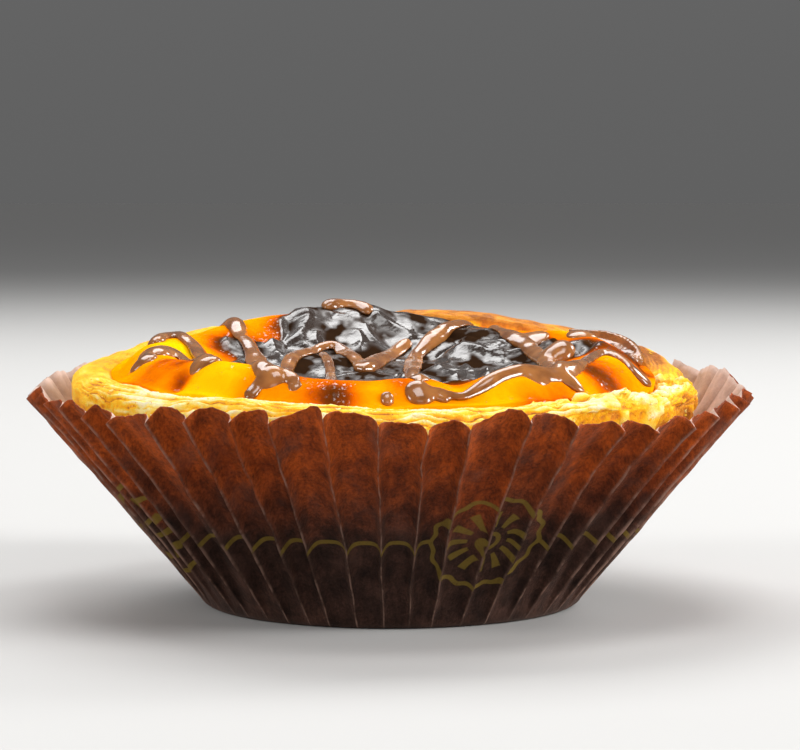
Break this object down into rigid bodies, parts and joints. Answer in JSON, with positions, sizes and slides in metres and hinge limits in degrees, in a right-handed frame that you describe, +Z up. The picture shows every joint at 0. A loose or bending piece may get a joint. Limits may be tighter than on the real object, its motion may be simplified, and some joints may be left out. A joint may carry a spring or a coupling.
{
  "type": "portuguese custard tart",
  "caption": "Custard tart in a pleated paper case: flaky pastry shell, scorched custard filling and a zigzag drizzle of chocolate sauce, standing on its flat base.",
  "frame": {"origin": "centre of the paper case's flat base, on the surface it stands on", "axes": "+Z up, the pictured side faces -Y, +X to the right seen from there"},
  "size_m": [0.0871, 0.0855, 0.0347],
  "materials": {
    "paper_case": "matt brown baking paper, paler inside",
    "pastry": "baked puff pastry, dry and flaky",
    "custard": "glossy baked custard, scorched dark in the middle",
    "chocolate_sauce": "glossy poured milk chocolate"
  },
  "bodies": {
    "root": {"paper_case": "paper_case", "pastry_shell": "pastry", "custard_filling": "custard"}
  },
  "joints": []
}
